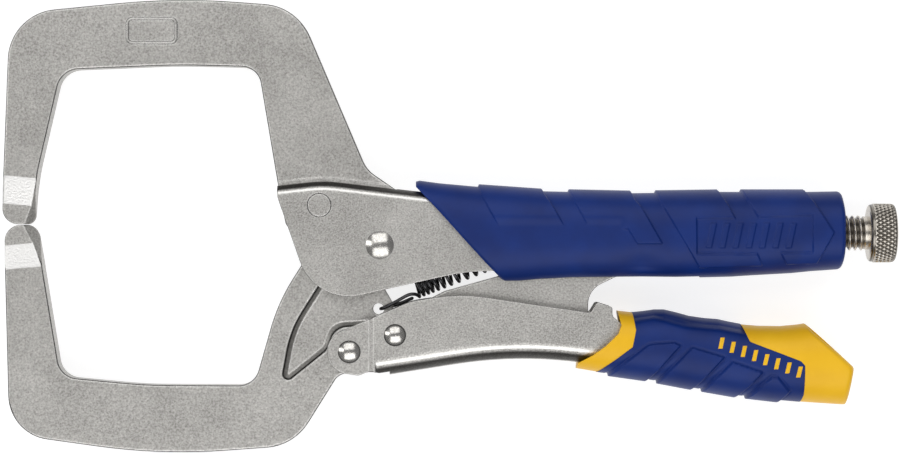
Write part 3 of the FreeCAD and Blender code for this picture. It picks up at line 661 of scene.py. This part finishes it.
# Plain slanted ribs stand in the panel where the real grip has lettering.
rib_count, first_rib, rib_spacing, rib_rise = 7, 213.6, 4.1, 0.4
for number in range(rib_count):
    left = first_rib + rib_spacing * number
    rib = [(left, -7.2), (left + 1.6, 0.4), (left + 3.4, 0.4), (left + 1.8, -7.2)]
    rise = np.maximum(rise, rib_rise * ramp(-0.15, 0.2, inside(x, y, rib)))
# A shallow hollow on each side, where the palm's edge rests.
hollow = np.exp(-(((x - 194.5) / 5.5) ** 2 + ((y + 12.0) / 3.4) ** 2)) * ramp(7.5, 9.5, np.abs(z))
rise = rise - 0.7 * hollow
rise = rise - 0.5 * (1 - np.clip(front_way / 0.8, 0, 1)) - 0.15 * ramp(15, 1.7, front_way)
rise = rise - round_over(rear_way, 1.4)
upper_grip = closed_grip("upper_grip_moulding", points + outward * rise[:, :, None])
# The moulding reaches into the sheet's thickness, so no slit shows where the two meet.
channel_side = [(81.1, 11.2), (95.5, 12.6), (165.0, 4.5), (226.4, 4.5), (226.4, -14.0),
                (140.0, -14.0), (93.0, -24.0), (81.1, 8.8)]
trim(upper_grip, prism("channel room", channel_side, -5.9, 5.9), "DIFFERENCE")
link_slot = [(100, -7.5), (208, -7.5), (212.5, -10.5), (213.5, -30), (100, -30)]
trim(upper_grip, prism("link slot", link_slot, -4.8, 4.8), "DIFFERENCE")


def moulded(name, colour, shade, roughness, grain, bump_mm):
    """Moulded polymer: one pigment, faintly uneven, with the fine grain of a spark-eroded mould."""
    material, tree, shader = plain(name, {"IOR": 1.49, "Roughness": roughness,
                                          "Specular IOR Level": 0.24})
    place = add(tree, "ShaderNodeTexCoord", {}, {}).outputs["Object"]
    cloud = add(tree, "ShaderNodeTexNoise", {"Scale": per_mm(12.0), "Detail": 3.0},
                {"Vector": place})
    fine = add(tree, "ShaderNodeTexNoise", {"Scale": per_mm(grain), "Detail": 2.0},
               {"Vector": place})
    share = add(tree, "ShaderNodeMapRange", {"From Min": 0.35, "From Max": 0.65},
                {"Value": cloud.outputs["Fac"]})
    mixed = add(tree, "ShaderNodeMix", {"data_type": "RGBA", 6: linear(colour), 7: linear(shade)},
                {0: share.outputs[0]})
    bump = add(tree, "ShaderNodeBump", {"Strength": 0.6, "Distance": bump_mm / 1000},
               {"Height": fine.outputs["Fac"]})
    tree.links.new(mixed.outputs[2], shader.inputs["Base Color"])
    tree.links.new(bump.outputs[0], shader.inputs["Normal"])
    return material


blue_elastomer = moulded("blue thermoplastic elastomer, moulded", "#092A70", "#082464",
                         0.45, 0.5, 0.03)
upper_grip.data.materials.clear()
upper_grip.data.materials.append(blue_elastomer)
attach(upper_grip, "frame")
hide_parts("upper_grip")

# ---------------------------------------------------------------- lower grip
# Yellow polypropylene core moulded over the lever's tang, showing as a collar and a tail, with a
# blue elastomer sleeve moulded over its middle.  Four slanted pads stand up on the fingers' side.
lower_top = [(170, -24.5), (187.2, -26.9), (191.9, -27.4), (194.9, -27.1), (198.5, -26.6),
             (201.5, -26.6), (205.7, -27.6), (209.3, -28.6), (214.1, -29.3), (218.2, -29.6),
             (221.8, -30.4), (226.0, -31.2), (230.8, -31.6), (237.9, -31.7), (243.3, -31.2),
             (246.0, -30.7), (264, -29.0)]
lower_bottom = [(170, -44.0), (174.6, -44.9), (181.2, -46.0), (184.1, -46.4), (195.5, -48.0),
                (209.3, -50.6), (223.0, -53.0), (236.8, -54.6), (244.7, -55.3), (256.6, -56.1),
                (264, -56.4)]
lower_half = [(170, 9.8), (188, 10.6), (205, 11.2), (225, 11.9), (240, 11.9), (264, 11.4)]
finger_pads = [
    [(180.0, -49.4), (196.0, -37.4), (197.8, -37.0), (204.0, -36.6), (205.8, -37.4),
     (198.7, -45.3), (193.4, -50.2), (190, -54), (182, -54)],
    [(195.4, -52.6), (209.6, -38.1), (219.3, -41.0), (212.2, -48.6), (206.6, -53.6), (204, -57)],
    [(209.2, -55.3), (222.0, -42.5), (231.2, -45.6), (227.0, -50.0), (220.6, -55.6), (218, -59)],
    [(222.5, -57.2), (234.1, -47.1), (235.9, -47.1), (239.7, -51.5), (234.2, -57.2), (232, -60)],
]
rows = np.linspace(0, 1, 400)
grip_front, grip_end, grip_columns, grip_squareness = 171.0, 263.0, 220, 2.5
finger_rise, finger_rim = 0.8, 0.13
finger_gutter, finger_gutter_out, finger_gutter_width = 0.25, 0.45, 0.26
# Where the tail's slanted top and its end lie, as x, y to x, y.
tail_edges = [(245.6, -31.2, 259.7, -44.3), (259.7, -44.3, 257.7, -56.4)]
tail_radius = 1.8


def lower_body(name, swell, with_pads):
    """The whole grip's outside, swollen a little; the collar, sleeve and tail are cut from it."""
    x, y, z = grip_rings(lambda v: np.full_like(v, grip_front), lambda v: np.full_like(v, grip_end),
                         lambda v: along(lower_top, v), lambda v: along(lower_bottom, v),
                         lambda v: along(lower_half, v), rows, grip_columns, grip_squareness)
    points, outward = normals_of(x, y, z)
    rise = np.full(x.shape, swell)
    if with_pads:
        for outline in finger_pads:
            edge = inside(x, y, outline)
            gutter = np.exp(-((edge + finger_gutter_out) / finger_gutter_width) ** 2)
            rise = rise + finger_rise * ramp(-finger_rim, finger_rim, edge) - finger_gutter * gutter
        # Above this line the sleeve thins towards the lever's open side.
        ridge = along([(190, -31.4), (197.7, -30.0), (201.9, -31.1), (207.2, -32.6), (219, -33.6),
                       (230, -35.5)], x)
        rise = rise - 0.9 * ramp(0.0, 3.0, y - ridge) * np.clip(np.abs(z) / 6, 0, 1)
    else:
        for x0, y0, x1, y1 in tail_edges:
            span = math.hypot(x1 - x0, y1 - y0)
            away = ((x - x0) * (y1 - y0) - (y - y0) * (x1 - x0)) / span
            rise = rise - round_over(away, tail_radius) * np.abs(outward[:, :, 2])
    return closed_grip(name, points + outward * rise[:, :, None])


collar_front = [(186.6, -26.0), (187.8, -31.1), (186.9, -33.8), (183.0, -37.6), (178.9, -40.6),
                (174.5, -43.0), (173.6, -46.5)]
collar_back = [(191.2, -26.0), (192.3, -32.6), (191.2, -37.9), (186.0, -41.8), (180.3, -46.0),
               (179.0, -48)]
tail_front = [(224.6, -29.0), (227.3, -36.2), (243.0, -42.2), (244.3, -43.6), (244.2, -52.7),
              (243.3, -56.5)]
tail_back = [(257.35, -58.5), (259.7, -44.3), (243.4, -29.15), (243.0, -28.5)]
past_sides = 20
collar = trim(lower_body("collar", 0.0, False),
              prism("collar cut", collar_front + collar_back[::-1], -past_sides, past_sides),
              "INTERSECT")
tail = trim(lower_body("tail", 0.0, False),
            prism("tail cut", rounded(tail_front + tail_back, 0.8), -past_sides, past_sides),
            "INTERSECT")
sleeve_cut = collar_back + [(195, -70), (235, -70)] + tail_front[::-1] + [(222, -15), (195, -15)]
lower_sleeve = trim(lower_body("lower_grip_sleeve_moulding", 0.12, True),
                    prism("sleeve cut", sleeve_cut, -past_sides, past_sides), "INTERSECT")
# Plain leaning dashes in a row stand in for the yellow lettering inlaid in the sleeve.
mark_count, first_mark, mark_run = 8, (218.5, -36.6), (24.0, -8.9)
mark_tools = []
for number in range(mark_count):
    share = number / (mark_count - 1)
    mx, my = first_mark[0] + mark_run[0] * share, first_mark[1] + mark_run[1] * share
    dash = [(mx - 1.0, my - 1.7), (mx - 0.2, my + 1.7), (mx + 1.1, my + 1.7), (mx + 0.3, my - 1.7)]
    mark_tools.append(prism("mark cut", dash, -past_sides, past_sides))
lower_marks = trim(lower_body("lower_grip_marks_moulding", 0.2, False),
                   gather(mark_tools[0], mark_tools[1:]), "INTERSECT")
lower_core = gather(collar, [tail])
lower_core.name = "lower_grip_core_moulding"

yellow_plastic = moulded("yellow polypropylene, moulded", "#EFBB20", "#E8B31B", 0.42, 0.6, 0.015)
for piece, finish, body_slot, node_name in (
        (lower_core, yellow_plastic, "yellow_plastic", "lower_grip_core"),
        (lower_sleeve, blue_elastomer, "blue_elastomer", "lower_grip_sleeve"),
        (lower_marks, yellow_plastic, "yellow_plastic", "lower_grip_marks")):
    piece.data.materials.clear()
    piece.data.materials.append(finish)
    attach(piece, "lever")
    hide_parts(node_name)

# ---------------------------------------------------------------- studio
# The clamp lies on a white table lit through from below, under two broad soft banks and a strip.
# The camera looks straight down on it from just under a metre.
floor_mesh = bpy.data.meshes.new("floor")
reach, under = 3.0, 0.0005
level = cad_box[0][2] - under
floor_mesh.from_pydata([(-reach, -reach, level), (reach, -reach, level), (reach, reach, level),
                        (-reach, reach, level)], [], [(0, 1, 2, 3)])
floor = bpy.data.objects.new("floor", floor_mesh)
bpy.context.scene.collection.objects.link(floor)
floor_paint = plain("white opal acrylic, lit through",
                    {"Base Color": linear("#A8A8A8"), "Roughness": 0.9,
                     "Specular IOR Level": 0.0, "Emission Color": linear("#FFFFFF"),
                     "Emission Strength": 0.78})[0]
floor_mesh.materials.append(floor_paint)


def softbox(name, place, aim, width, height, watts):
    """Rectangular light aimed at a point of the clamp."""
    data = bpy.data.lights.new(name, "AREA")
    data.shape = "RECTANGLE"
    data.size, data.size_y, data.energy = width, height, watts
    lamp = bpy.data.objects.new(name, data)
    bpy.context.scene.collection.objects.link(lamp)
    lamp.location = place
    lamp.visible_camera = False
    lamp.rotation_mode = "QUATERNION"
    lamp.rotation_quaternion = (Vector(aim) - Vector(place)).to_track_quat("-Z", "Y")


middle = (0.13, 0.0, 0.0)
softbox("bank above the fixed jaw", (0.08, 0.54, 0.80), middle, 1.2, 0.75, 4.7)
softbox("bank below the moving jaw", (0.16, -0.52, 0.80), middle, 1.2, 0.70, 5.5)
softbox("strip on the left", (-0.75, 0.15, 0.55), middle, 0.3, 0.7, 2.0)

world = bpy.data.worlds.new("studio")
bpy.context.scene.world = world
world.use_nodes = True
background = world.node_tree.nodes["Background"]
background.inputs["Color"].default_value = linear("#E8E8EA")
background.inputs["Strength"].default_value = 0.3

camera_data = bpy.data.cameras.new("camera")
sensor, distance, width_seen = 36.0, 0.95, 0.28107
camera_data.sensor_width = sensor
camera_data.lens = sensor * distance / width_seen
camera = bpy.data.objects.new("camera", camera_data)
bpy.context.scene.collection.objects.link(camera)
camera.location = (0.13476, -0.00062, distance)
bpy.context.scene.camera = camera
bpy.context.scene.view_settings.view_transform = "Standard"
